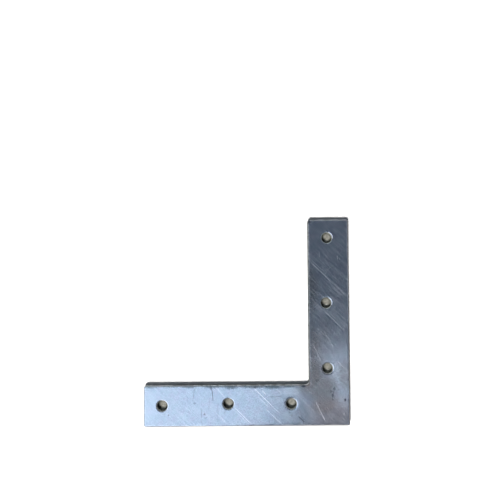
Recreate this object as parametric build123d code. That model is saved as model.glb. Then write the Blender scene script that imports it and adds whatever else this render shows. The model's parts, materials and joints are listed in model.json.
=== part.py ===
from build123d import *
import os

# Flat corner brace: one L-shaped steel plate with three screw holes in each leg.
# All sizes are in millimetres. The plate lies on its back face at Z = 0, show face up.
# Its legs meet at the lower right: one runs along X, the other runs up along Y.
# The origin is under the middle of the rectangle that the two legs span.

# Outline
leg_across = 100.0         # outside corner to the free end of the leg along X
leg_up = 100.0             # outside corner to the free end of the leg along Y
width_across = 20.0        # width of the leg along X
width_up = 20.0            # width of the leg along Y
thickness = 2.5
end_corner_radius = 1.0    # the two corners of each free end, seen from above
outside_radius = 1.0       # outside corner where the legs meet
inside_radius = 0.8        # inside corner where they meet

# Holes, counted from each leg's free end towards the corner
hole_diameter = 5.0
end_distance = 9.0                 # free end to the centre of the first hole
steps_across = (32.0, 30.5)        # from hole to hole in the leg along X
steps_up = (31.7, 31.6)            # from hole to hole in the leg along Y
shifts_across = (0.2, 1.0, 0.8)    # how much nearer the inside edge than the leg's middle each hole lies
shifts_up = (0.6, 1.2, 0.8)        # the same in the leg along Y; the rows aren't quite straight

# Edges as the punch leaves them
edge_rounding = 0.5        # rolled edge all round the show face
rim_rounding = 0.5         # rolled rim of each hole in the show face
back_break = 0.2           # small bevel round the back face and the holes' back rims

# The four sides of the rectangle, and the two inside edges
left, right = -leg_across / 2, leg_across / 2
bottom, top = -leg_up / 2, leg_up / 2
inside_x = right - width_up
inside_y = bottom + width_across


def outline():
    """The L seen from above, with its six corners rounded."""
    corners = {
        (left, bottom): end_corner_radius,
        (right, bottom): outside_radius,
        (right, top): end_corner_radius,
        (inside_x, top): end_corner_radius,
        (inside_x, inside_y): inside_radius,
        (left, inside_y): end_corner_radius,
    }
    return make_face(FilletPolyline(*corners, radius=list(corners.values()), close=True))


def distances_from_end(steps):
    """Distance of each hole from its leg's free end."""
    distances = [end_distance]
    for step in steps:
        distances.append(distances[-1] + step)
    return distances


def hole_centres():
    """Centres of both rows: the one along X from the left, then the one along Y from the top."""
    middle_y = bottom + width_across / 2
    middle_x = right - width_up / 2
    along_x = zip(distances_from_end(steps_across), shifts_across)
    along_y = zip(distances_from_end(steps_up), shifts_up)
    across = [(left + distance, middle_y + shift) for distance, shift in along_x]
    up = [(middle_x - shift, top - distance) for distance, shift in along_y]
    return across + up


def brace_plate():
    """The punched plate: outline and holes in one stroke, then the edges that the stroke leaves."""
    holes = [Pos(x, y) * Circle(hole_diameter / 2) for x, y in hole_centres()]
    plate = extrude(outline() - holes, amount=thickness)

    show_face = plate.faces().sort_by(Axis.Z)[-1]
    plate = fillet(show_face.outer_wire().edges(), edge_rounding)

    show_face = plate.faces().sort_by(Axis.Z)[-1]
    rims = [wire.edges()[0] for wire in show_face.inner_wires()]
    plate = fillet(rims, rim_rounding)

    back_face = plate.faces().sort_by(Axis.Z)[0]
    return chamfer(back_face.edges(), back_break)


os.makedirs("parts", exist_ok=True)
export_step(brace_plate(), "parts/brace_plate.step")
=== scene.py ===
# %% [markdown]
# # A flat corner brace
# This lesson dresses a small piece of hardware: an L-shaped steel plate, 100 mm along each leg and
# 2.5 mm thick, with three plain screw holes in each leg. Plates like it are punched from sheet and
# coated with a thin layer of bright zinc. The shape is simple, so most of the lesson is about the
# marks that a punch leaves on the edges, about the zinc, and about the light that it mirrors.
#
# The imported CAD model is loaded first. It is the fixed frame: it gives the plate's size and the
# places of its holes, so neither has to be fitted by eye.

# %% Load the frame
import json
import math

import bmesh
import bpy
from mathutils import Euler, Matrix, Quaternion, Vector


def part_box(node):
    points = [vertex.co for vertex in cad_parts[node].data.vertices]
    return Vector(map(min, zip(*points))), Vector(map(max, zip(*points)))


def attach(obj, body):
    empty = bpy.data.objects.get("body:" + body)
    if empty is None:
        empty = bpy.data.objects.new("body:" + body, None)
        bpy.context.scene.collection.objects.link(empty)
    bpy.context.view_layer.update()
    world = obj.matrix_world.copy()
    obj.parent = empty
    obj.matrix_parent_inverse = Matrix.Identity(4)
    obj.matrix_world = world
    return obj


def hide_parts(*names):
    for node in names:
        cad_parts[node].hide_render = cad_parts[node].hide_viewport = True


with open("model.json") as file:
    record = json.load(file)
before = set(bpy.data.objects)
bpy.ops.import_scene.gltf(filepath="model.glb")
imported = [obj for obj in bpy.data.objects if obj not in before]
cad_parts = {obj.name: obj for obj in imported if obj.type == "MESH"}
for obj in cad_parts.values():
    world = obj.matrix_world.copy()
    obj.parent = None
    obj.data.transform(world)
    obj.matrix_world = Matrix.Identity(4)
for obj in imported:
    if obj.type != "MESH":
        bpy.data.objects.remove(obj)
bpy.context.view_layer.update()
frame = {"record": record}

MM = 0.001
low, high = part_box("brace_plate")
print("plate, mm:", [round(side / MM, 2) for side in high - low])

# %% [markdown]
# The record that is packed with the model lists each hole as a bore, with its centre and radius.
# Reading them here means that a change of the holes or of the plate's box reaches the shape by
# itself. The width of a leg isn't in the record, so it is a value of its own.

# %% Sizes of the plate
LEG_WIDTH = 20.0 * MM
thickness = high.z - low.z
inside_x = high.x - LEG_WIDTH
inside_y = low.y + LEG_WIDTH
bores = [mount for mount in frame["record"]["mounts"] if mount["kind"] == "bore"]
hole_centres = [Vector((bore["pos_m"][0], bore["pos_m"][1])) for bore in bores]
hole_radius = bores[0]["dims"]["r_mm"] * MM
print(len(bores), "holes of radius", round(hole_radius / MM, 2), "mm")

# %% [markdown]
# ## The camera
# The brace was photographed from close by, from almost straight above. A camera could be placed by
# trial. Here its place was worked out instead from the plate's six corners in the photograph: with
# a 36 mm lens on a 36 mm sensor it hung 246 mm over the table and leaned back by under 2 degrees.
# That nearness is why the inner wall of the lower leg shows as a thin strip.

# %% Place the camera
camera_data = bpy.data.cameras.new("camera_above")
camera_data.lens = 36.0
camera_data.sensor_width = 36.0
camera_data.clip_start = 0.01
camera = bpy.data.objects.new("camera_above", camera_data)
camera.location = (0.0010, 0.02796, 0.24594)
camera.rotation_euler = Euler([math.radians(turn) for turn in (1.72, -0.21, -0.36)])
bpy.context.scene.collection.objects.link(camera)
bpy.context.scene.camera = camera
bpy.context.scene.view_settings.view_transform = "Standard"
print("camera height, mm:", round(camera.location.z / MM, 1))

# %% [markdown]
# ## The table
# The plate lies on something white that is lit so brightly that it has no tone of its own. Seen
# through the holes, though, it is a warm grey, mottled and darkest along the left of each hole,
# because hardly any light gets down there. A large pale plane is the table. A grey card of the same
# L shape hides under the plate, a little smaller than it, and shows only through the holes. Its grey
# is painted shade, and the lighter and darker patches on it are painted light and painted shade.

# %% Helpers that select what an operator is to work on
def start_edit(piece):
    """Select only this piece and open it in edit mode, with nothing selected in it."""
    bpy.ops.object.select_all(action="DESELECT")
    piece.select_set(True)
    bpy.context.view_layer.objects.active = piece
    bpy.ops.object.mode_set(mode="EDIT")
    bpy.ops.mesh.select_mode(type="VERT")
    bpy.ops.mesh.select_all(action="DESELECT")


def pick(piece, kind, passes):
    """Select only the verts, edges or faces of the open piece that pass a test; return their number."""
    bpy.ops.mesh.select_mode(type={"verts": "VERT", "edges": "EDGE", "faces": "FACE"}[kind])
    bpy.ops.mesh.select_all(action="DESELECT")
    shape = bmesh.from_edit_mesh(piece.data)
    chosen = [part for part in getattr(shape, kind) if passes(part)]
    for part in chosen:
        part.select_set(True)
    bmesh.update_edit_mesh(piece.data)
    return len(chosen)


def close_edit():
    """Leave edit mode."""
    bpy.ops.object.mode_set(mode="OBJECT")


def middle(part):
    """Middle of an edge or a face."""
    return sum((vert.co for vert in part.verts), Vector()) / len(part.verts)


def near(a, b, reach=0.02 * MM):
    """True where two lengths are the same."""
    return abs(a - b) < reach


# %% An L drawn from a square
def start_corner(name, corner_high_z, inset=0.0):
    """A square plane where the legs meet, then pulled out to the left and up into an L."""
    size = LEG_WIDTH - 2 * inset
    at = ((inside_x + high.x) / 2, (low.y + inside_y) / 2, corner_high_z)
    bpy.ops.object.select_all(action="DESELECT")
    bpy.ops.mesh.primitive_plane_add(size=size, location=at)
    piece = bpy.context.object
    piece.name = name
    bpy.ops.object.transform_apply(location=True, rotation=True, scale=True)
    start_edit(piece)
    pick(piece, "edges", lambda edge: near(middle(edge).x, inside_x + inset))
    pull_left = {"value": (low.x - inside_x, 0, 0)}
    bpy.ops.mesh.extrude_region_move(TRANSFORM_OT_translate=pull_left)
    top_side = inside_y - inset
    pick(piece, "edges", lambda edge: near(middle(edge).y, top_side) and middle(edge).x > inside_x)
    pull_up = {"value": (0, high.y - inside_y, 0)}
    bpy.ops.mesh.extrude_region_move(TRANSFORM_OT_translate=pull_up)
    close_edit()
    return piece


# %% Table and card
TABLE_SIZE = 6.0
TABLE_LEVEL = -0.2 * MM
CARD_LEVEL = -0.1 * MM
CARD_INSET = 0.5 * MM
bpy.ops.mesh.primitive_plane_add(size=TABLE_SIZE, location=(0, 0, TABLE_LEVEL))
table = bpy.context.object
table.name = "table"
# The card's grey is painted shade: it is darker than the table only where the holes show it.
painted_shade_card = start_corner("painted_shade_card", CARD_LEVEL, inset=CARD_INSET)
print("card faces:", len(painted_shade_card.data.polygons))


# %% Plain surfaces for the table and the card
def plain_surface(name, colour, roughness):
    """A matt one-colour material, only for what isn't part of the brace."""
    material = bpy.data.materials.new(name)
    material.use_nodes = True
    shader = material.node_tree.nodes["Principled BSDF"]
    shader.inputs["Base Color"].default_value = (*colour, 1.0)
    shader.inputs["Roughness"].default_value = roughness
    shader.inputs["Specular IOR Level"].default_value = 0.2
    return material


table.data.materials.append(plain_surface("white_table", (0.86, 0.86, 0.855), 0.8))
card_grey = plain_surface("shaded_table", (0.20, 0.195, 0.172), 0.8)
painted_shade_card.data.materials.append(card_grey)
print("surfaces of the stage:", table.data.materials[0].name, "and", card_grey.name)

# %% Painted light and shade: the card is darkest at the left of each hole
card_tree = card_grey.node_tree
card_place = card_tree.nodes.new("ShaderNodeTexCoord")


def nearest_gap(shift_x, shift_y):
    """How far a point of the card is from the nearest hole's centre, shifted by this much."""
    nearest = None
    for centre in hole_centres:
        gap = card_tree.nodes.new("ShaderNodeVectorMath")
        gap.operation = "DISTANCE"
        card_tree.links.new(card_place.outputs["Object"], gap.inputs[0])
        gap.inputs[1].default_value = (centre.x + shift_x, centre.y + shift_y, CARD_LEVEL)
        if nearest is None:
            nearest = gap.outputs["Value"]
            continue
        closer = card_tree.nodes.new("ShaderNodeMath")
        closer.operation = "MINIMUM"
        card_tree.links.new(nearest, closer.inputs[0])
        card_tree.links.new(gap.outputs["Value"], closer.inputs[1])
        nearest = closer.outputs["Value"]
    return nearest


def card_tone(gap, gap_from, gap_to, inner, outer):
    """One tone near the shifted centres and another away from them; returns the colour."""
    shade = card_tree.nodes.new("ShaderNodeMapRange")
    shade.inputs["From Min"].default_value = gap_from
    shade.inputs["From Max"].default_value = gap_to
    card_tree.links.new(gap, shade.inputs["Value"])
    tone = card_tree.nodes.new("ShaderNodeMix")
    tone.data_type = "RGBA"
    for socket, colour in ((tone.inputs["A"], inner), (tone.inputs["B"], outer)):
        if isinstance(colour, bpy.types.NodeSocket):
            card_tree.links.new(colour, socket)
        else:
            socket.default_value = (*colour, 1.0)
    card_tree.links.new(shade.outputs["Result"], tone.inputs["Factor"])
    return tone.outputs["Result"]


# Painted light: a light patch lies a little to the right in each hole, with painted shade round it.
# The lower side of each hole also lies in the plate's shadow, so a paler patch of painted light keeps
# that side from turning black.
PAINTED_LIGHT_SHIFT = (0.40 * MM, 0.30 * MM)
PAINTED_LIGHT_FADE = (1.1 * MM, 2.1 * MM)
PAINTED_LIGHT_TONE = (0.185, 0.181, 0.160)
PAINTED_SHADE_TONE = (0.040, 0.044, 0.038)
SHADED_SHIFT = (0.40 * MM, -2.40 * MM)
SHADED_FADE = (0.9 * MM, 2.0 * MM)
PAINTED_FILL_TONE = (0.34, 0.35, 0.32)
painted_light_patch = card_tone(nearest_gap(*PAINTED_LIGHT_SHIFT), *PAINTED_LIGHT_FADE, PAINTED_LIGHT_TONE, PAINTED_SHADE_TONE)
card_colour = card_tone(nearest_gap(*SHADED_SHIFT), *SHADED_FADE, PAINTED_FILL_TONE, painted_light_patch)
speckle = card_tree.nodes.new("ShaderNodeTexNoise")
speckle.inputs["Scale"].default_value = 900.0
card_tree.links.new(card_place.outputs["Object"], speckle.inputs["Vector"])
mottle = card_tree.nodes.new("ShaderNodeMix")
mottle.data_type = "RGBA"
mottle.inputs["B"].default_value = (0.085, 0.085, 0.072, 1.0)
mottle_amount = card_tree.nodes.new("ShaderNodeMapRange")
mottle_amount.inputs["From Min"].default_value = 0.42
mottle_amount.inputs["From Max"].default_value = 0.60
mottle_amount.inputs["To Max"].default_value = 0.6
card_tree.links.new(speckle.outputs["Fac"], mottle_amount.inputs["Value"])
card_tree.links.new(mottle_amount.outputs["Result"], mottle.inputs["Factor"])
card_tree.links.new(card_colour, mottle.inputs["A"])
card_tree.links.new(mottle.outputs["Result"], card_tree.nodes["Principled BSDF"].inputs["Base Color"])
print("nodes in the card:", len(card_tree.nodes))

# %% [markdown]
# ## The light
# Bare metal shows the room more than it shows itself. In the photograph the lower leg mirrors
# something large and bluish white, such as a window, and the upright leg mirrors a dark ceiling. So
# the room here is made of soft panels that only the metal mirrors: a wide one over the lower left
# is the window, a small one brightens the corner, and three more at the left, front and back give
# the rolled edges something to catch. The key does the opposite: the metal doesn't mirror it,
# and it lights the table and makes the short shadow along the upper edges. A lamp as near as that
# leaves the table dark further off, so a sun from the same side, which looks as wide as the lamp,
# gives nearly half of the light. The sky is pale at the horizon and dark overhead.


# %% Soft panels
def soft_panel(name, place, aim, width, height, glow, colour, turn=0.0):
    """A flat area light that faces its aim, is as bright as its glow, and that no camera sees."""
    data = bpy.data.lights.new(name, type="AREA")
    data.shape = "RECTANGLE"
    data.size = width
    data.size_y = height
    data.energy = glow * math.pi * width * height
    data.color = colour
    lamp = bpy.data.objects.new(name, data)
    lamp.location = place
    facing = (Vector(aim) - Vector(place)).to_track_quat("-Z", "Y")
    lamp.rotation_euler = (facing @ Quaternion((0, 0, 1), math.radians(turn))).to_euler()
    lamp.visible_camera = False
    bpy.context.scene.collection.objects.link(lamp)
    return lamp


PLATE_MIDDLE = (0, 0, 0)
COOL_WHITE = (0.95, 0.97, 1.0)
# Name, place, what it faces, width, height, glow, colour, turn in degrees.
PANELS = [
    ("window", (-0.322, -0.250, 0.60), (-0.322, -0.250, 0), 0.60, 0.60, 1.14, (0.645, 0.80, 1.0), -35),
    ("side_glow", (0.166, -0.160, 0.60), (0.166, -0.160, 0), 0.07, 0.075, 1.35, (0.78, 0.87, 1.0), 0),
    ("left_panel", (-0.60, -0.20, 0.49), PLATE_MIDDLE, 0.80, 0.60, 1.0, COOL_WHITE, 0),
    ("front_panel", (-0.30, -0.62, 0.40), PLATE_MIDDLE, 0.50, 0.45, 1.8, COOL_WHITE, 0),
    ("back_panel", (-0.20, 0.58, 0.45), PLATE_MIDDLE, 0.70, 0.35, 0.6, (0.86, 1.0, 0.91), 0),
]
for settings in PANELS:
    panel = soft_panel(*settings)
    panel.visible_diffuse = False
print("panels:", len(PANELS))

# %% The key, and a sun beside it
KEY_PLACE = Vector((-0.235, -0.48, 0.72))
KEY_SIDE = 0.26
KEY_GLOW = 48.0
WARM_WHITE = (1.0, 0.98, 0.96)
key = soft_panel("key", KEY_PLACE, PLATE_MIDDLE, KEY_SIDE, KEY_SIDE, KEY_GLOW, WARM_WHITE)
key.visible_glossy = False
far_key_data = bpy.data.lights.new("far_key", type="SUN")
far_key_data.energy = 3.1
far_key_data.angle = math.radians(16.5)
far_key_data.color = WARM_WHITE
far_key = bpy.data.objects.new("far_key", far_key_data)
far_key.rotation_euler = (-KEY_PLACE).to_track_quat("-Z", "Y").to_euler()
far_key.visible_glossy = False
bpy.context.scene.collection.objects.link(far_key)
# A bounced ray that hits one of these two lamps by chance doesn't count. When it did, a few rays
# left white dots on the metal.
for lamp_data in (key.data, far_key_data):
    lamp_data.cycles.use_multiple_importance_sampling = False

# %% Sky
HORIZON = (0.50, 0.53, 0.52, 1.0)
LOW_SKY = (0.22, 0.24, 0.27, 1.0)
OVERHEAD = (0.105, 0.13, 0.17, 1.0)
world = bpy.data.worlds.new("room")
world.use_nodes = True
bpy.context.scene.world = world
sky_nodes = world.node_tree.nodes
sky_links = world.node_tree.links
direction = sky_nodes.new("ShaderNodeTexCoord")
split = sky_nodes.new("ShaderNodeSeparateXYZ")
sky_links.new(direction.outputs["Generated"], split.inputs["Vector"])
fade = sky_nodes.new("ShaderNodeValToRGB")
sky_links.new(split.outputs["Z"], fade.inputs["Fac"])
sky_links.new(fade.outputs["Color"], sky_nodes["Background"].inputs["Color"])
fade.color_ramp.elements[0].position = 0.0
fade.color_ramp.elements[0].color = HORIZON
fade.color_ramp.elements[1].position = 0.95
fade.color_ramp.elements[1].color = OVERHEAD
low_sky = fade.color_ramp.elements.new(0.35)
low_sky.color = LOW_SKY
# Matt surfaces get less of this light than the metal mirrors, which keeps the short shadow dark.
ray = sky_nodes.new("ShaderNodeLightPath")
dimmer = sky_nodes.new("ShaderNodeMapRange")
sky_links.new(ray.outputs["Is Diffuse Ray"], dimmer.inputs["Value"])
dimmer.inputs["To Min"].default_value = 1.0
dimmer.inputs["To Max"].default_value = 0.6
sky_links.new(dimmer.outputs["Result"], sky_nodes["Background"].inputs["Strength"])
print("tones in the sky:", len(fade.color_ramp.elements))

# %% [markdown]
# ## The plate
# A punch that cuts such a plate from sheet rolls the show face over a little at its edges and round
# the holes. The back isn't in the photograph, so its small bevel is a guess. One could cut the holes
# with a boolean, but that leaves long thin faces that a smooth surface can't follow. So the flat L is
# divided into small squares instead, with rows of narrow ones along its edges. Round each hole a
# block of four by four squares is taken out, and the sixteen sides of the gap are pulled inwards into
# two round rings.

# %% Lay out the squares
# The width of the narrow rows, the widest square, and half the side of a hole's block.
BAND = 1.0 * MM
PITCH = 2.6 * MM
BLOCK = 4.0 * MM
# Seen from the hole's middle, the points along a block's side are then 22.5 degrees apart.
BLOCK_STEPS = [-BLOCK, -BLOCK * math.tan(math.pi / 8), 0.0, BLOCK * math.tan(math.pi / 8), BLOCK]


def with_even_cuts(marks):
    """The marks in order, with even cuts added where two of them lie more than a pitch apart."""
    marks = sorted(marks)
    cuts = []
    for start, end in zip(marks, marks[1:]):
        steps = max(1, math.ceil((end - start) / PITCH - 0.001))
        cuts.extend(start + (end - start) * step / steps for step in range(steps))
    return cuts[1:]


def round_hole(value):
    """The five cuts that cross a hole's block of squares."""
    return [value + step for step in BLOCK_STEPS]


across_row = [centre for centre in hole_centres if centre.y < inside_y]
up_row = [centre for centre in hole_centres if centre.y > inside_y]
row_y = sum(centre.y for centre in across_row) / len(across_row)
row_x = sum(centre.x for centre in up_row) / len(up_row)
x_marks = [low.x, low.x + BAND, inside_x, inside_x + BAND, high.x - BAND, high.x]
y_marks = [low.y, low.y + BAND, inside_y - BAND, inside_y, high.y - BAND, high.y]
for centre in across_row:
    x_marks.extend(round_hole(centre.x))
y_marks.extend(round_hole(row_y))
for centre in up_row:
    y_marks.extend(round_hole(centre.y))
x_marks.extend(round_hole(row_x))
x_cuts = with_even_cuts(x_marks)
y_cuts = with_even_cuts(y_marks)
print("cuts:", len(x_cuts), "across,", len(y_cuts), "up")
print("rows of holes at, mm:", round(row_x / MM, 2), round(row_y / MM, 2))

# %% Cut the flat L into squares
plate = start_corner("punched_plate", high.z)
start_edit(plate)
for axis, cuts in ((0, x_cuts), (1, y_cuts)):
    for cut in cuts:
        at = Vector((0, 0, high.z))
        at[axis] = cut
        facing = Vector((0, 0, 0))
        facing[axis] = 1
        bpy.ops.mesh.select_all(action="SELECT")
        bpy.ops.mesh.bisect(plane_co=at, plane_no=facing, threshold=0.01 * MM)
close_edit()
print("squares:", len(plate.data.polygons))

# %% Open the holes
HOLE_POINTS = 16
# A smoothed ring of points draws in a little, so its cage is this much wider than the hole.
ring_radius = hole_radius * 3 / (2 + math.cos(math.tau / HOLE_POINTS))
# A wider ring round it keeps the squares outside it even.
guard_radius = 3.4 * MM


def pull_into_ring(piece, centre, radius, shift=(0.0, 0.0)):
    """Extrude the selected loop and make the new loop a circle of this radius round the centre."""
    bpy.ops.mesh.extrude_region_move()
    bpy.ops.transform.translate(value=(*shift, 0))
    bpy.ops.transform.tosphere(value=1.0)
    loop = [vert for vert in bmesh.from_edit_mesh(piece.data).verts if vert.select]
    ratio = radius / ((loop[0].co.xy - centre).length)
    bpy.ops.transform.resize(value=(ratio, ratio, 1), center_override=(centre.x, centre.y, high.z))
    return len(loop)


start_edit(plate)
for centre in hole_centres:
    block = Vector((centre.x, row_y)) if centre in across_row else Vector((row_x, centre.y))

    def off_block(part):
        away = middle(part).xy - block
        return max(abs(away.x), abs(away.y))
    squares = pick(plate, "faces", lambda face: off_block(face) < BLOCK)
    bpy.ops.mesh.delete(type="FACE")
    sides = pick(plate, "edges", lambda edge: edge.is_boundary and near(off_block(edge), BLOCK))
    pull_into_ring(plate, centre, guard_radius, centre - block)
    points = pull_into_ring(plate, centre, ring_radius)
    print("hole:", squares, "squares out,", sides, "sides pulled into a ring of", points, "points")
close_edit()
print("faces with the holes:", len(plate.data.polygons))

# %% Round the corners, seen from above
END_ROUND = 1.0 * MM
INSIDE_ROUND = 0.8 * MM
# Moved in by this share of the radius along X and along Y, a corner lands on the middle of its arc.
CORNER_PULL = 0.293
corners = [
    (low.x, low.y, 1, 1, END_ROUND),
    (high.x, low.y, -1, 1, END_ROUND),
    (high.x, high.y, -1, -1, END_ROUND),
    (inside_x, high.y, 1, -1, END_ROUND),
    (inside_x, inside_y, -1, 1, INSIDE_ROUND),
    (low.x, inside_y, 1, -1, END_ROUND),
]
start_edit(plate)
for x, y, side_x, side_y, radius in corners:
    pick(plate, "verts", lambda vert: near(vert.co.x, x) and near(vert.co.y, y))
    step = CORNER_PULL * radius
    bpy.ops.transform.translate(value=(side_x * step, side_y * step, 0))
close_edit()
print("corners rounded:", len(corners))

# %% Give it thickness, then roll its edges
EDGE_ROLL = 0.45 * MM
BACK_BREAK = 0.2 * MM


def turns_down_at(height):
    """A test for the edges at one height where a flat face meets a wall."""
    def passes(edge):
        if len(edge.link_faces) != 2 or not near(middle(edge).z, height):
            return False
        wall, flat = sorted(abs(face.normal.z) for face in edge.link_faces)
        return wall < 0.2 and flat > 0.8
    return passes


start_edit(plate)
bpy.ops.mesh.select_all(action="SELECT")
bpy.ops.mesh.extrude_region_move(TRANSFORM_OT_translate={"value": (0, 0, -thickness)})
bpy.ops.mesh.select_all(action="SELECT")
bpy.ops.mesh.remove_doubles(threshold=0.005 * MM)
bpy.ops.mesh.normals_make_consistent(inside=False)
rolled = pick(plate, "edges", turns_down_at(high.z))
bpy.ops.mesh.bevel(offset=EDGE_ROLL, segments=2, profile=0.5, affect="EDGES")
broken = pick(plate, "edges", turns_down_at(low.z))
bpy.ops.mesh.bevel(offset=BACK_BREAK, segments=1, affect="EDGES")
close_edit()
print("rolled edges:", rolled, "back edges:", broken, "faces:", len(plate.data.polygons))

# %% [markdown]
# Subdivision turns this cage into a smooth surface, with round holes and soft corners. Two levels
# are enough: a face is then at most 0.65 mm wide, little more than a pixel in the picture.

# %% Smooth it
def apply_modifier(piece, kind, **settings):
    """Add a modifier, set it up and apply it at once."""
    bpy.ops.object.select_all(action="DESELECT")
    piece.select_set(True)
    bpy.context.view_layer.objects.active = piece
    modifier = piece.modifiers.new(kind.lower(), kind)
    for setting, value in settings.items():
        setattr(modifier, setting, value)
    bpy.ops.object.modifier_apply(modifier=modifier.name)


apply_modifier(plate, "SUBSURF", levels=2, render_levels=2)
bpy.ops.object.shade_smooth()
print("triangles:", sum(len(face.vertices) - 2 for face in plate.data.polygons))

# %% [markdown]
# A punched edge is never quite straight. The rim wanders by about a tenth of a millimetre, the show
# face sinks a little towards each hole, where a punch pulls it down, and it waves slightly between
# them. Vertex groups say where each of these happens. Soft noise pushes the rim in along its normals
# and lowers the face, and the rings round the holes go straight down. Nothing is pushed outwards or
# up, so the plate never grows past its real size.

# %% How near each point is to an edge
# How far from an edge or a hole each effect still reaches.
ATTRIBUTE_REACH = 1.5 * MM
EDGE_REACH = 1.2 * MM
HOLE_REACH = 1.6 * MM
FACE_REACH = 1.0 * MM
# How high up the thickness, as a share of it, the two effects on the show face begin.
SINK_FROM = 0.7
WAVES_FROM = 0.9


def distance_to_outline(x, y):
    """Distance from a point on the plate to the outline of the L, in metres."""
    to_sides = min(high.x - x, y - low.y)
    past_x = x - inside_x
    past_y = inside_y - y
    if past_x < 0:
        return min(to_sides, past_y, x - low.x)
    if past_y < 0:
        return min(to_sides, past_x, high.y - y)
    return min(to_sides, math.hypot(past_x, past_y))


def distance_to_hole(x, y):
    """Distance from a point on the plate to the nearest hole's wall, in metres."""
    return min(math.hypot(x - centre.x, y - centre.y) for centre in hole_centres) - hole_radius


outline_closeness = []
edge_group = plate.vertex_groups.new(name="edges")
hole_group = plate.vertex_groups.new(name="round_holes")
face_group = plate.vertex_groups.new(name="show_face")
for vert in plate.data.vertices:
    outline_gap = max(0.0, distance_to_outline(vert.co.x, vert.co.y))
    hole_gap = max(0.0, distance_to_hole(vert.co.x, vert.co.y))
    outline_closeness.append(max(0.0, 1 - outline_gap / ATTRIBUTE_REACH))
    above_back = min(1.0, max(0.0, (vert.co.z - low.z) / thickness))
    edge_weight = max(0.0, 1 - outline_gap / EDGE_REACH) * above_back
    hole_weight = max(0.0, 1 - hole_gap / HOLE_REACH) ** 2 * (above_back > SINK_FROM)
    face_weight = min(1.0, outline_gap / FACE_REACH) * (above_back > WAVES_FROM)
    weights = ((edge_group, edge_weight), (hole_group, hole_weight), (face_group, face_weight))
    for group, weight in weights:
        if weight > 0.0:
            group.add([vert.index], weight, "REPLACE")
near_outline = plate.data.attributes.new("near_outline", "FLOAT", "POINT")
near_outline.data.foreach_set("value", outline_closeness)
print("points near the outline:", sum(value > 0.0 for value in outline_closeness))

# %% Push the edges and the show face a little out of true
EDGE_WANDER = 0.14 * MM
WANDER_LENGTH = 4.0 * MM
HOLE_SINK = 0.05 * MM
FACE_WAVES = 0.06 * MM
WAVE_LENGTH = 22.0 * MM


def soft_noise(name, size):
    """A cloud pattern with lumps of this size."""
    pattern = bpy.data.textures.new(name, type="CLOUDS")
    pattern.noise_scale = size
    pattern.noise_depth = 2
    return pattern


apply_modifier(plate, "DISPLACE", texture=soft_noise("edge_wander", WANDER_LENGTH),
               texture_coords="LOCAL", strength=EDGE_WANDER, mid_level=1.0, vertex_group="edges")
apply_modifier(plate, "DISPLACE", strength=-HOLE_SINK, mid_level=0.0, vertex_group="round_holes",
               direction="Z")
apply_modifier(plate, "DISPLACE", texture=soft_noise("sheet_waves", WAVE_LENGTH),
               texture_coords="LOCAL", strength=FACE_WAVES, mid_level=1.0, vertex_group="show_face",
               direction="Z")
low_now = [min(vert.co[axis] for vert in plate.data.vertices) / MM for axis in range(3)]
high_now = [max(vert.co[axis] for vert in plate.data.vertices) / MM for axis in range(3)]
print("plate now, mm:", [round(value, 3) for value in low_now], [round(value, 3) for value in high_now])

# %% [markdown]
# ## The zinc
# Zinc plating is a bluish metal. This brace has been handled: it carries hair-fine scratches, most
# of them slanting from the upper left to the lower right, a few longer ones that catch the light,
# small dark stains and specks, and a smudgy rim along the inner edge of the lower leg. Near the
# corner it is tarnished or hazy in places, and cleaner in others. Its rolled edges are dull and
# dark, partly from a burr and partly as painted shade, with a painted highlight, a thin bright line,
# just inside them. A photograph could be laid over the plate to show all this, but it would look
# right from one side only. So each of these is a mask between 0 and 1 that is worked out from the
# place on the plate, in millimetres. Masks that are used again and again are built once, as node
# groups.


# %% Small helpers for node trees
def feed(tree, socket, value):
    """Link a socket to another one, or set its value."""
    if isinstance(value, bpy.types.NodeSocket):
        tree.links.new(value, socket)
    else:
        socket.default_value = value


def calc(tree, operation, *values, clamp=False):
    """A Math node; returns its output."""
    made = tree.nodes.new("ShaderNodeMath")
    made.operation = operation
    made.use_clamp = clamp
    for socket, value in zip(made.inputs, values):
        feed(tree, socket, value)
    return made.outputs["Value"]


def vector_calc(tree, operation, *values):
    """A Vector Math node; returns its vector, or its number where it has only that."""
    made = tree.nodes.new("ShaderNodeVectorMath")
    made.operation = operation
    sockets = [socket for socket in made.inputs if socket.enabled]
    for socket, value in zip(sockets, values):
        feed(tree, socket, value)
    return made.outputs["Value" if operation in {"DOT_PRODUCT", "LENGTH", "DISTANCE"} else "Vector"]


def noise(tree, place, scale, detail=2.0, roughness=0.5):
    """A noise texture's value, about 0.5 on average."""
    made = tree.nodes.new("ShaderNodeTexNoise")
    feed(tree, made.inputs["Vector"], place)
    feed(tree, made.inputs["Scale"], scale)
    feed(tree, made.inputs["Detail"], detail)
    feed(tree, made.inputs["Roughness"], roughness)
    return made.outputs["Fac"]


def stretch(tree, value, low_end, high_end, to_low=0.0, to_high=1.0):
    """Map a range of values to another, without going past its ends."""
    made = tree.nodes.new("ShaderNodeMapRange")
    made.interpolation_type = "SMOOTHSTEP"
    for socket, number in zip(made.inputs, (value, low_end, high_end, to_low, to_high)):
        feed(tree, socket, number)
    return made.outputs["Result"]


def blend(tree, amount, first, second, mode="MIX"):
    """Mix two colours, or multiply the first by the second."""
    made = tree.nodes.new("ShaderNodeMix")
    made.data_type = "RGBA"
    made.blend_type = mode
    feed(tree, made.inputs["Factor"], amount)
    feed(tree, made.inputs["A"], first)
    feed(tree, made.inputs["B"], second)
    return made.outputs["Result"]


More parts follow.
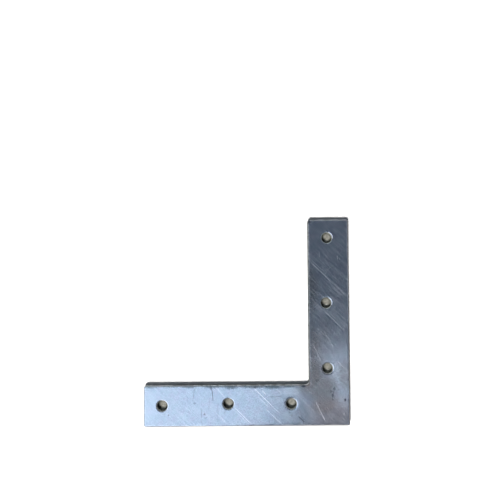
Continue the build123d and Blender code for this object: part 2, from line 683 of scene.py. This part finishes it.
def new_group(name, takes, gives):
    """An empty node group; returns the tree, its inputs by name and its output node."""
    tree = bpy.data.node_groups.new(name, "ShaderNodeTree")
    for socket, kind in takes.items():
        tree.interface.new_socket(name=socket, in_out="INPUT", socket_type="NodeSocket" + kind)
    for socket, kind in gives.items():
        tree.interface.new_socket(name=socket, in_out="OUTPUT", socket_type="NodeSocket" + kind)
    entry = tree.nodes.new("NodeGroupInput")
    leave = tree.nodes.new("NodeGroupOutput")
    return tree, entry.outputs, leave


def use_group(tree, group, **values):
    """Place a group in a tree and feed its inputs; returns its first output."""
    made = tree.nodes.new("ShaderNodeGroup")
    made.node_tree = group
    for name, value in values.items():
        feed(tree, made.inputs[name], value)
    return made.outputs[0]


# %% Group: one straight scratch, added to those before it
SKIP_ASIDE = 0.03
scratch_group, takes, leave = new_group(
    "straight_scratch",
    {"Place": "Vector", "Start": "Vector", "End": "Vector", "Width": "Float", "Strength": "Float",
     "Before": "Float"},
    {"Mask": "Float"})
# A scratch that meets an older one skips aside by a hair's breadth. This also makes the renderer
# work out the scratches one after another, because all at once are more than its memory holds.
skip = calc(scratch_group, "MULTIPLY", takes["Before"], SKIP_ASIDE)
moved = vector_calc(scratch_group, "ADD", takes["Place"], skip)
# The nearest point of the line from start to end, and how far away it is.
run = vector_calc(scratch_group, "SUBTRACT", takes["End"], takes["Start"])
offset = vector_calc(scratch_group, "SUBTRACT", moved, takes["Start"])
along = calc(scratch_group, "DIVIDE", vector_calc(scratch_group, "DOT_PRODUCT", offset, run),
             vector_calc(scratch_group, "DOT_PRODUCT", run, run), clamp=True)
nearest_point = scratch_group.nodes.new("ShaderNodeVectorMath")
nearest_point.operation = "SCALE"
scratch_group.links.new(run, nearest_point.inputs[0])
scratch_group.links.new(along, nearest_point.inputs["Scale"])
gap = vector_calc(scratch_group, "DISTANCE", offset, nearest_point.outputs["Vector"])
# The line thins out at both ends and is broken up a little by noise.
ends = calc(scratch_group, "MULTIPLY", stretch(scratch_group, along, 0.0, 0.10),
            stretch(scratch_group, along, 1.0, 0.88))
patchy = stretch(scratch_group, noise(scratch_group, takes["Place"], 1.1), 0.25, 0.55, 0.65, 1.0)
share_of_width = calc(scratch_group, "DIVIDE", gap, takes["Width"])
line = calc(scratch_group, "SUBTRACT", 1.0, share_of_width, clamp=True)
mask = calc(scratch_group, "MULTIPLY", calc(scratch_group, "MULTIPLY", line, ends), patchy)
mask = calc(scratch_group, "MULTIPLY", mask, takes["Strength"])
mask = calc(scratch_group, "MAXIMUM", mask, takes["Before"])
scratch_group.links.new(mask, leave.inputs["Mask"])

# %% Group: many hair-fine scratches in one direction
hair_group, takes, leave = new_group(
    "hair_scratches",
    {"Place": "Vector", "Angle": "Float", "Length": "Float", "Spacing": "Float", "Rarity": "Float"},
    {"Mask": "Float"})
turn = hair_group.nodes.new("ShaderNodeVectorRotate")
turn.rotation_type = "Z_AXIS"
hair_group.links.new(takes["Place"], turn.inputs["Vector"])
hair_group.links.new(takes["Angle"], turn.inputs["Angle"])
squeeze = hair_group.nodes.new("ShaderNodeCombineXYZ")
hair_group.links.new(calc(hair_group, "DIVIDE", 1.0, takes["Length"]), squeeze.inputs["X"])
hair_group.links.new(calc(hair_group, "DIVIDE", 1.0, takes["Spacing"]), squeeze.inputs["Y"])
stretched = vector_calc(hair_group, "MULTIPLY", turn.outputs["Vector"], squeeze.outputs["Vector"])
hairs = noise(hair_group, stretched, 1.0, detail=1.0)
upper = calc(hair_group, "ADD", takes["Rarity"], 0.12)
hair_group.links.new(stretch(hair_group, hairs, takes["Rarity"], upper), leave.inputs["Mask"])

# %% Group: one soft-edged stain, added to those before it
stain_group, takes, leave = new_group(
    "soft_stain",
    {"Place": "Vector", "Centre": "Vector", "Reach": "Vector", "Ragged": "Float", "Grain": "Float",
     "Strength": "Float", "Before": "Float"},
    {"Mask": "Float"})
skip = calc(stain_group, "MULTIPLY", takes["Before"], SKIP_ASIDE)
moved = vector_calc(stain_group, "ADD", takes["Place"], skip)
shift = vector_calc(stain_group, "SUBTRACT", moved, takes["Centre"])
scaled = vector_calc(stain_group, "DIVIDE", shift, takes["Reach"])
reach = vector_calc(stain_group, "LENGTH", scaled)
grain = noise(stain_group, takes["Place"], takes["Grain"], detail=3.0)
rough_edge = calc(stain_group, "SUBTRACT", grain, 0.5)
reach = calc(stain_group, "ADD", reach, calc(stain_group, "MULTIPLY", rough_edge, takes["Ragged"]))
mask = calc(stain_group, "MULTIPLY", stretch(stain_group, reach, 1.0, 0.35), takes["Strength"])
mask = calc(stain_group, "MAXIMUM", mask, takes["Before"])
stain_group.links.new(mask, leave.inputs["Mask"])
print("groups:", [group.name for group in bpy.data.node_groups])

# %% [markdown]
# The marks of this brace are listed by their place on the show face, in millimetres from the middle
# of the square that the legs span. They were read from the photograph, one by one.

# %% Where the scratches are
# Light scratches: start, end, half their width in millimetres, strength.
SCRATCHES = [
    ((30.9, 29.6), (49.3, 11.9), 0.12, 0.38),
    ((38.4, 5.0), (48.3, -4.9), 0.14, 0.46),
    ((41.3, 3.8), (48.2, -2.9), 0.13, 0.32),
    ((42.2, 6.5), (48.9, 0.6), 0.13, 0.24),
    ((40.8, 12.8), (44.2, 9.0), 0.17, 0.25),
    ((31.2, 12.0), (36.4, 6.6), 0.17, 0.22),
    ((37.3, -3.9), (42.1, -12.4), 0.18, 0.28),
    ((31.9, -9.9), (36.1, -19.2), 0.15, 0.48),
    ((34.0, -10.4), (35.6, -13.6), 0.17, 0.22),
    ((44.0, -19.0), (49.4, -24.4), 0.15, 0.40),
    ((41.2, -16.3), (42.5, -20.1), 0.17, 0.25),
    ((39.3, 25.1), (42.7, 27.7), 0.16, 0.20),
    ((38.2, 23.0), (39.6, 25.4), 0.16, 0.18),
    ((35.6, 34.6), (35.8, 31.4), 0.16, 0.22),
    ((44.4, 32.3), (44.6, 30.3), 0.17, 0.35),
    ((45.3, 31.3), (45.7, 30.1), 0.16, 0.25),
    ((46.9, -43.8), (46.9, -44.8), 0.24, 0.60),
    ((33.1, -38.0), (38.0, -48.0), 0.17, 0.68),
    ((-15.6, -30.8), (-10.4, -36.0), 0.17, 0.54),
    ((-14.6, -30.9), (-10.9, -34.4), 0.16, 0.35),
    ((-6.3, -40.5), (2.4, -49.0), 0.16, 0.80),
    ((-6.1, -41.9), (0.9, -48.8), 0.17, 0.50),
    ((3.2, -31.3), (12.6, -40.6), 0.15, 0.80),
    ((11.6, -39.8), (16.0, -43.8), 0.15, 0.50),
    ((5.2, -35.4), (10.7, -41.0), 0.14, 0.56),
    ((7.4, -32.7), (9.2, -34.6), 0.20, 0.75),
    ((9.0, -41.6), (16.7, -48.7), 0.15, 0.54),
    ((12.6, -45.2), (15.6, -48.2), 0.17, 0.38),
    ((14.0, -31.9), (16.6, -34.2), 0.17, 0.45),
    ((21.1, -31.8), (33.0, -43.3), 0.15, 0.32),
    ((-19.5, -38.7), (-10.2, -48.4), 0.14, 0.34),
    ((-12.6, -45.2), (-10.2, -48.0), 0.18, 0.32),
    ((-21.2, -43.3), (-17.2, -45.0), 0.18, 0.40),
    ((25.2, -42.6), (25.6, -45.3), 0.20, 0.35),
    ((24.9, -47.8), (25.9, -48.8), 0.22, 0.40),
]
# Dark scratches, listed in the same way.
DARK_SCRATCHES = [
    ((-17.5, -30.4), (-16.7, -33.0), 0.28, 0.90),
    ((-16.8, -32.4), (-16.3, -37.8), 0.25, 1.0),
    ((-25.2, -31.4), (-26.2, -37.6), 0.20, 0.60),
    ((-18.0, -37.0), (-18.6, -41.8), 0.18, 0.35),
    ((-14.0, -37.8), (-14.1, -48.0), 0.17, 0.35),
    ((-21.8, -41.0), (-22.0, -45.8), 0.20, 0.55),
    ((-22.3, -46.6), (-21.7, -48.3), 0.20, 0.55),
    ((-20.2, -45.9), (-18.9, -45.0), 0.24, 0.60),
    ((-10.5, -42.2), (-11.0, -43.8), 0.22, 0.50),
    ((11.0, -35.6), (17.3, -35.7), 0.24, 0.36),
    ((25.0, -45.3), (27.9, -48.2), 0.60, 1.0),
    # This one darkens a line along the upright leg's left edge, near the inside corner.
    ((30.7, -21.8), (30.6, -29.4), 0.28, 0.70),
    ((42.4, -31.2), (41.4, -35.2), 0.20, 0.40),
    ((13.2, -45.4), (13.6, -48.4), 0.20, 0.40),
    # This one darkens a strip along the upright leg's right edge.
    ((49.5, 0.5), (49.7, -15.5), 0.45, 0.80),
]
print(len(SCRATCHES), "light scratches,", len(DARK_SCRATCHES), "dark ones")

# %% Where the spots and patches are
# Dark spots: centre, reach along X and Y, strength.
STAINS = [
    ((41.5, -35.3), (0.9, 1.5), 0.55),
    ((42.3, -32.2), (0.8, 1.2), 0.30),
    ((41.6, -37.2), (0.8, 1.0), 0.25),
    ((40.7, -33.4), (0.7, 0.9), 0.30),
    ((47.5, -37.5), (0.55, 1.0), 1.0),
    ((34.0, -28.1), (1.2, 0.9), 0.35),
    ((20.4, -43.0), (0.6, 0.9), 0.40),
    ((21.5, -44.6), (0.7, 0.6), 0.40),
    ((-20.5, -43.9), (0.7, 0.8), 0.55),
    ((-25.3, -38.6), (0.9, 0.7), 0.35),
    ((-37.8, -44.2), (0.6, 0.6), 0.45),
    ((-17.4, -31.4), (0.8, 1.0), 0.60),
    ((4.0, -31.1), (0.9, 0.8), 0.60),
    ((27.4, -30.7), (1.7, 0.8), 1.0),
    # This spot is painted shade at the upright leg's upper left corner.
    ((30.6, 48.9), (1.4, 1.4), 1.0),
]
# Smudges along the inner edge of the lower leg.
SMUDGES = [
    ((-46.5, -30.7), (4.5, 0.9), 0.70),
    ((-37.0, -30.6), (6.0, 0.8), 0.55),
    ((-27.5, -30.7), (5.0, 0.9), 0.85),
    ((-16.5, -30.6), (7.0, 1.1), 0.90),
    ((-8.0, -30.8), (4.5, 1.5), 1.0),
    ((3.0, -30.7), (8.0, 1.2), 0.90),
    ((12.5, -30.8), (6.5, 1.5), 1.0),
    ((20.0, -30.5), (6.0, 1.0), 0.75),
]
# Dull, tarnished patches.
TARNISH = [
    ((29.0, 14.0), (8.5, 20.0), 0.66),
    ((29.5, -10.0), (9.0, 18.0), 0.62),
    ((37.0, -3.0), (6.0, 9.0), 0.28),
    ((30.5, -25.0), (10.0, 14.0), 0.72),
    ((36.0, -32.0), (10.5, 9.0), 0.57),
    ((37.5, -39.0), (8.5, 8.0), 0.56),
    ((41.5, -45.5), (11.0, 7.0), 0.25),
    ((48.0, -25.0), (5.0, 10.0), 0.30),
]
# Places where the zinc is cleaner and brighter.
CLEAN = [
    ((21.5, -33.2), (6.0, 3.2), 0.85),
    ((43.2, -22.5), (3.2, 5.0), 0.35),
    ((40.5, 7.5), (4.5, 6.0), 0.55),
    ((20.5, -45.0), (5.0, 3.5), 0.45),
    ((-48.5, -40.5), (9.0, 12.0), 0.38),
]
# A warm haze over the corner.
HAZE = [
    ((40.5, -45.5), (17.0, 13.0), 1.0),
    ((36.0, -12.0), (6.0, 12.0), 0.25),
]
print(len(STAINS), "spots,", len(SMUDGES), "smudges and", len(TARNISH), "dull patches")

# %% [markdown]
# The steel's material starts from the place on the plate, counted in millimetres. The lists above
# become masks. The colour, the shine and the relief are then built up from them, layer by layer. In
# the colour, a later layer lies over the earlier ones.

# %% The plated steel
steel = bpy.data.materials.new("plated_steel")
steel.use_nodes = True
tree = steel.node_tree
shader = tree.nodes["Principled BSDF"]
coordinates = tree.nodes.new("ShaderNodeTexCoord")
to_mm = tree.nodes.new("ShaderNodeVectorMath")
to_mm.operation = "SCALE"
tree.links.new(coordinates.outputs["Object"], to_mm.inputs[0])
to_mm.inputs["Scale"].default_value = 1 / MM
place = to_mm.outputs["Vector"]
flat_place = vector_calc(tree, "MULTIPLY", place, (1.0, 1.0, 0.0))
place_parts = tree.nodes.new("ShaderNodeSeparateXYZ")
tree.links.new(place, place_parts.inputs["Vector"])
geometry = tree.nodes.new("ShaderNodeNewGeometry")
normal_parts = tree.nodes.new("ShaderNodeSeparateXYZ")
tree.links.new(geometry.outputs["Normal"], normal_parts.inputs["Vector"])
on_top = stretch(tree, normal_parts.outputs["Z"], 0.80, 0.97)
print("material:", steel.name)

# %% Scratches, spots and patches on the show face
def all_scratches(listed):
    """One mask for a list of straight scratches."""
    total = 0.0
    for start, end, width, strength in listed:
        total = use_group(tree, scratch_group, Place=flat_place, Start=(*start, 0), End=(*end, 0),
                          Width=width, Strength=strength, Before=total)
    return calc(tree, "MULTIPLY", total, on_top)


def all_spots(listed, ragged, grain):
    """One mask for a list of soft-edged spots."""
    total = 0.0
    for centre, reach, strength in listed:
        total = use_group(tree, stain_group, Place=flat_place, Centre=(*centre, 0), Reach=(*reach, 1),
                          Ragged=ragged, Grain=grain, Strength=strength, Before=total)
    return calc(tree, "MULTIPLY", total, on_top)


scratched = all_scratches(SCRATCHES)
stained = calc(tree, "MAXIMUM", all_scratches(DARK_SCRATCHES), all_spots(STAINS, 0.7, 1.6))
smudged = all_spots(SMUDGES, 1.8, 1.6)
tarnished = all_spots(TARNISH, 0.25, 0.10)
cleaned = all_spots(CLEAN, 0.6, 0.4)
hazy = all_spots(HAZE, 0.4, 0.2)
print("nodes so far:", len(tree.nodes))

# %% Hair-fine scratches
def hair_layer(angle, length, spacing, rarity):
    """Hair-fine scratches at an angle in degrees, with their length and spacing in millimetres."""
    return use_group(tree, hair_group, Place=flat_place, Angle=math.radians(angle), Length=length,
                     Spacing=spacing, Rarity=rarity)


streaks = hair_layer(43, 14.0, 0.45, 0.55)
hairs = hair_layer(46, 8.0, 0.36, 0.55)
more_hairs = hair_layer(60, 6.0, 0.50, 0.60)
cross_hairs = hair_layer(-38, 4.0, 0.50, 0.58)
hairs = calc(tree, "MAXIMUM", hairs, calc(tree, "MULTIPLY", more_hairs, 0.7))
hairs = calc(tree, "MAXIMUM", hairs, calc(tree, "MULTIPLY", cross_hairs, 0.6))
patches = stretch(tree, noise(tree, flat_place, 0.12, detail=3.0), 0.35, 0.65, 0.60, 1.0)
hairs = calc(tree, "MULTIPLY", hairs, patches)
hairs = calc(tree, "MAXIMUM", hairs, calc(tree, "MULTIPLY", streaks, 0.7))
hairs = calc(tree, "MULTIPLY", hairs, stretch(tree, tarnished, 0.0, 1.0, 1.0, 0.55))
# The upright leg's upper end has been rubbed less.
hairs = calc(tree, "MULTIPLY", hairs, stretch(tree, place_parts.outputs["Y"], 40.0, 8.0, 0.7, 1.0))
print("nodes with the hairs:", len(tree.nodes))

# %% The rolled edges
# The attribute falls from 1 at the outline of the L to 0 a millimetre and a half inside it.
outline = tree.nodes.new("ShaderNodeAttribute")
outline.attribute_name = "near_outline"
at_outline = outline.outputs["Fac"]
slope = stretch(tree, normal_parts.outputs["Z"], 0.993, 0.955)
# This is 1 everywhere but on the edges that face away from the window, towards +Y.
not_away = stretch(tree, normal_parts.outputs["Y"], 0.10, 0.30, 1.0, 0.0)
edge_grain = noise(tree, place, 0.7, detail=3.0)
edge_breaks = stretch(tree, noise(tree, place, 0.45), 0.46, 0.58, 0.0, 0.75)
# Painted shade, partly a dull burr: the sloping part of the roll is darkened, except in patches on the
# edges that face away from the window, towards +Y.
dull_edge_and_shade = calc(tree, "MULTIPLY", slope, stretch(tree, at_outline, 0.3, 0.6))
dull_edge_and_shade = calc(tree, "MULTIPLY", dull_edge_and_shade, stretch(tree, edge_grain, 0.30, 0.62, 0.70, 1.0))
dull_edge_and_shade = calc(tree, "MULTIPLY", dull_edge_and_shade, calc(tree, "MAXIMUM", not_away, edge_breaks))
# The last half millimetre is darker, partly dirt and partly painted shade, except on the edges
# that face away from the window.
last_part = stretch(tree, at_outline, 0.50, 0.76)
rim_dirt_and_shade = calc(tree, "MULTIPLY", last_part, calc(tree, "MULTIPLY", not_away, 0.8))
dull_edge_and_shade = calc(tree, "MAXIMUM", dull_edge_and_shade, rim_dirt_and_shade)
# Painted highlight: where the roll begins, about 0.9 mm from the outline, a thin bright line is painted
# in.
glint_inside = stretch(tree, at_outline, 0.28, 0.41)
painted_glint = calc(tree, "MULTIPLY", glint_inside, stretch(tree, at_outline, 0.54, 0.43))
painted_glint = calc(tree, "MULTIPLY", painted_glint, stretch(tree, noise(tree, place, 0.35), 0.38, 0.60))
# The painted highlight is strongest along the lower leg's outer edge, which turns towards the light.
low_edge = stretch(tree, place_parts.outputs["Y"], -47.6, -48.4)
painted_glint = calc(tree, "MULTIPLY", painted_glint, calc(tree, "ADD", 0.35, calc(tree, "MULTIPLY", low_edge, 0.65)))
painted_glint = calc(tree, "MULTIPLY", painted_glint, on_top)
print("nodes with the edges:", len(tree.nodes))

# %% Colour
broad = noise(tree, place, 0.07, detail=3.0, roughness=0.6)
clouds = noise(tree, place, 0.32, detail=2.0)
fine = noise(tree, place, 1.9, detail=2.0, roughness=0.6)
zinc = blend(tree, stretch(tree, broad, 0.35, 0.65), (0.56, 0.60, 0.66, 1), (0.61, 0.63, 0.67, 1))
zinc = blend(tree, stretch(tree, clouds, 0.50, 0.68, 0.0, 0.6), zinc, (0.595, 0.57, 0.64, 1))
zinc = blend(tree, stretch(tree, clouds, 0.50, 0.34, 0.0, 0.5), zinc, (0.53, 0.61, 0.63, 1))
zinc = blend(tree, stretch(tree, fine, 0.35, 0.70, 0.0, 0.5), zinc, (0.45, 0.48, 0.54, 1))
# Each of these layers: its mask, how much of it shows at most, and its colour.
pale_layers = (
    (cleaned, 0.7, (0.82, 0.85, 0.87, 1)),
    (hazy, 0.65, (0.78, 0.69, 0.69, 1)),
    (hairs, 0.34, (0.85, 0.90, 0.97, 1)),
    # The glint line is a painted highlight.
    (painted_glint, 0.70, (0.85, 0.90, 0.95, 1)),
)
for layer, share, colour in pale_layers:
    zinc = blend(tree, calc(tree, "MULTIPLY", layer, share), zinc, colour)
# The tarnish is browner near the corner than further up the leg.
up_the_leg = stretch(tree, place_parts.outputs["Y"], -30.0, 12.0)
tarnish_tone = blend(tree, up_the_leg, (0.59, 0.465, 0.37, 1), (0.51, 0.47, 0.42, 1))
zinc = blend(tree, tarnished, zinc, tarnish_tone, mode="MULTIPLY")
zinc = blend(tree, scratched, zinc, (0.85, 0.90, 1.0, 1))
zinc = blend(tree, calc(tree, "MULTIPLY", smudged, 0.70), zinc, (0.10, 0.145, 0.155, 1))
zinc = blend(tree, calc(tree, "MULTIPLY", stained, 0.85), zinc, (0.06, 0.075, 0.11, 1))
# The rolled edges' dark colour is partly a dull burr and partly painted shade.
zinc = blend(tree, dull_edge_and_shade, zinc, (0.035, 0.042, 0.042, 1))
# In the holes only the upright part counts as wall, and their rolled rims stay bright metal.
wall_start = stretch(tree, at_outline, 0.0, 0.5, 0.22, 0.5)
upright = stretch(tree, calc(tree, "ABSOLUTE", normal_parts.outputs["Z"]), 0.05, wall_start)
on_wall = calc(tree, "SUBTRACT", 1.0, upright)
# The outer walls are very dark: partly the cut edge's own tone, partly painted shade that deepens the
# strip along the upper edges.
wall_grain = noise(tree, vector_calc(tree, "MULTIPLY", place, (1.2, 1.2, 0.25)), 1.0, detail=3.0)
wall_mottle = stretch(tree, wall_grain, 0.35, 0.65)
wall_colour = blend(tree, wall_mottle, (0.022, 0.030, 0.026, 1), (0.060, 0.072, 0.062, 1))
# A hole's wall is painted pale, as painted light that lifts the shade inside the holes, and darker
# towards its foot as painted shade.
up_the_wall = stretch(tree, place_parts.outputs["Z"], 0.3, 1.6)
hole_wall = blend(tree, up_the_wall, (0.20, 0.22, 0.19, 1), (0.68, 0.71, 0.67, 1))
wall_colour = blend(tree, at_outline, hole_wall, wall_colour)
zinc = blend(tree, on_wall, zinc, wall_colour)
tree.links.new(zinc, shader.inputs["Base Color"])
print("nodes with the colour:", len(tree.nodes))

# %% Metal, roughness and relief
def with_layers(operation, total, layers):
    """Add or subtract masks, each times its own share; returns the result."""
    for layer, share in layers:
        total = calc(tree, operation, total, calc(tree, "MULTIPLY", layer, share))
    return total


unmetallic = ((scratched, 0.65), (hairs, 0.09), (painted_glint, 0.20), (dull_edge_and_shade, 0.7))
metallic = with_layers("SUBTRACT", 1.0, unmetallic)
outer_wall = calc(tree, "MULTIPLY", on_wall, stretch(tree, at_outline, 0.0, 1.0, 0.75, 0.85))
metallic = calc(tree, "SUBTRACT", metallic, outer_wall, clamp=True)
tree.links.new(metallic, shader.inputs["Metallic"])
rough = stretch(tree, fine, 0.3, 0.7, 0.16, 0.22)
dulling = ((hairs, 0.05), (tarnished, 0.08), (smudged, 0.10), (stained, 0.2), (dull_edge_and_shade, 0.25))
rough = with_layers("ADD", rough, dulling)
rough = calc(tree, "ADD", rough, calc(tree, "MULTIPLY", on_wall, 0.25), clamp=True)
tree.links.new(rough, shader.inputs["Roughness"])
height = calc(tree, "MULTIPLY", fine, 0.05)
height = with_layers("SUBTRACT", height, ((hairs, 0.10), (scratched, 0.3)))
relief = tree.nodes.new("ShaderNodeBump")
relief.inputs["Strength"].default_value = 0.6
relief.inputs["Distance"].default_value = 0.03 * MM
tree.links.new(height, relief.inputs["Height"])
tree.links.new(relief.outputs["Normal"], shader.inputs["Normal"])
plate.data.materials.append(steel)
print("nodes in the steel:", len(tree.nodes))

# %% Hand the plate over to the frame
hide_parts("brace_plate")
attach(plate, "root")
print("handed over:", plate.name)
